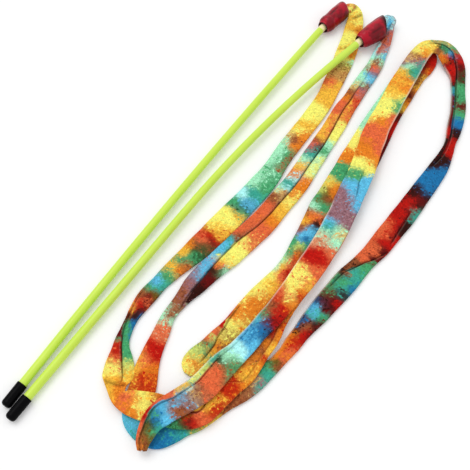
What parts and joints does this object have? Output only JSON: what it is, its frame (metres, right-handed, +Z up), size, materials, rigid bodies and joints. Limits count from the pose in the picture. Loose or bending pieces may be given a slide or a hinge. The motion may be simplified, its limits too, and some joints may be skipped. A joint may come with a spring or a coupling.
{
  "type": "cat teaser wand",
  "caption": "Cat teaser wands with bowed lime green rods, black handle caps, crimson sleeves and long tie-dyed velour ribbons, lying side by side.",
  "frame": {"origin": "middle of the two wands' outline without their ribbons, on the surface that they lie on", "axes": "+Y along the wands from the handle caps towards the sleeves and ribbons, +X from the first wand towards the ribbons, +Z up"},
  "size_m": [0.1587, 0.4379, 0.018],
  "materials": {
    "rod_plastic": "gloss",
    "cap_rubber": "satin",
    "sleeve_plastic": "semi-gloss",
    "binding_thread": "matte",
    "glue": "satin",
    "ribbon_velour": "velour pile"
  },
  "bodies": {
    "first_wand": {"first_rod": "rod_plastic", "first_sleeve": "sleeve_plastic", "first_binding": "binding_thread", "first_glue_plug": "glue", "first_ribbon": "ribbon_velour"},
    "first_cap": {"first_handle_cap": "cap_rubber"},
    "second_wand": {"second_rod": "rod_plastic", "second_sleeve": "sleeve_plastic", "second_binding": "binding_thread", "second_glue_plug": "glue", "second_ribbon": "ribbon_velour"},
    "second_cap": {"second_handle_cap": "cap_rubber"}
  },
  "joints": [
    {"name": "first_cap_pull", "type": "slide", "parent": "first_wand", "child": "first_cap", "axis": [0.0257, -0.9996, -0.0067], "range_m": [0, 0.0165]},
    {"name": "second_wand_lift", "type": "slide", "parent": "first_wand", "child": "second_wand", "axis": [0, 0, 1], "range_m": [0, 0.06], "deforming": ["second_ribbon"]},
    {"name": "second_cap_pull", "type": "slide", "parent": "second_wand", "child": "second_cap", "axis": [-0.0169, -0.9998, -0.0128], "range_m": [0, 0.0165]}
  ]
}
